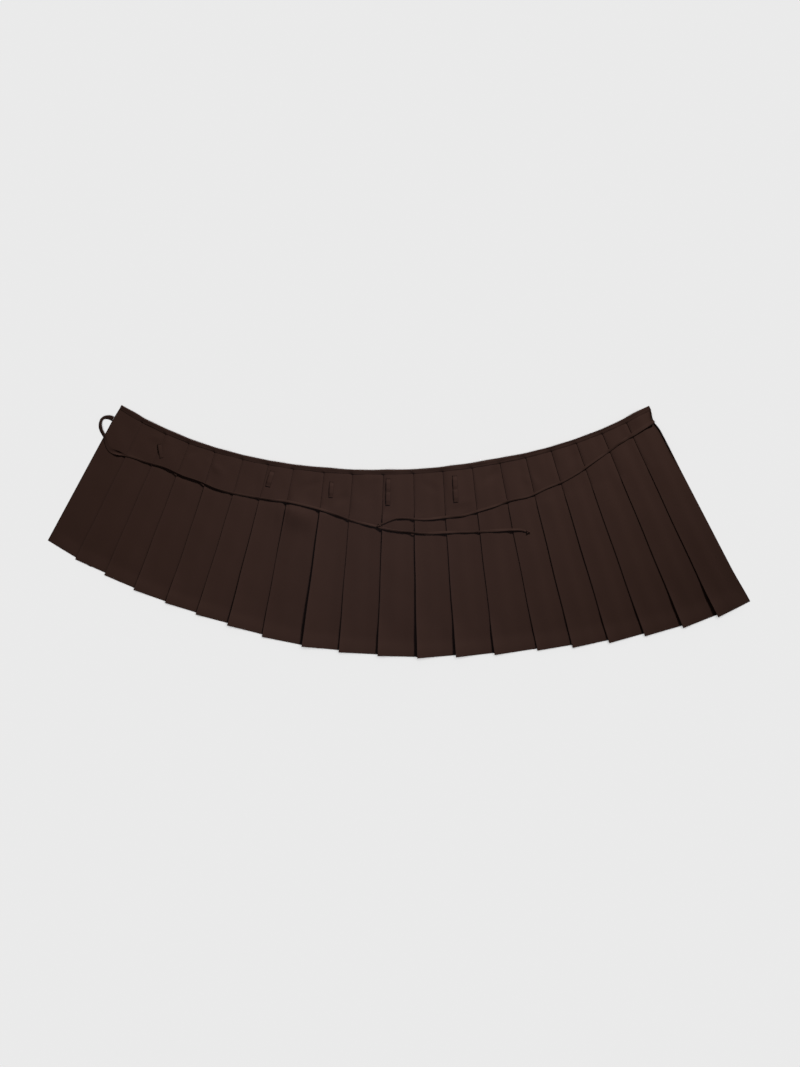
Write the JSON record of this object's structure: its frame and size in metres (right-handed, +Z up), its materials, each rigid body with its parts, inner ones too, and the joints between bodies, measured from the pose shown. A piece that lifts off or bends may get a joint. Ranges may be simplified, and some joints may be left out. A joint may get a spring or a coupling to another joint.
{
  "type": "wrap skirt",
  "caption": "Knife-pleated wrap skirt opened out and laid face up, with a bound waist edge, flat belt loops below it and long narrow ties at its ends.",
  "frame": {"origin": "on the surface the skirt lies on, under the middle of the outline of the cloth without its ties", "axes": "+Z up from the surface through the cloth to its face, +X along the laid-out skirt from the left side edge to the right one, +Y from the hem towards the waist"},
  "size_m": [1.3328, 0.4814, 0.0088],
  "materials": {
    "suiting": "smooth matte dark brown twill suiting",
    "binding": "the same suiting as a pressed binding",
    "tie_tape": "the same suiting as narrow turned tape"
  },
  "bodies": {
    "root": {"pleated_panel": "suiting", "waist_binding": "binding", "belt_loop_1": "suiting", "belt_loop_2": "suiting", "belt_loop_3": "suiting", "belt_loop_4": "suiting", "belt_loop_5": "suiting", "tie_left": "tie_tape", "tie_right": "tie_tape", "tie_left_knot": "tie_tape", "tie_right_knot": "tie_tape"}
  },
  "joints": []
}
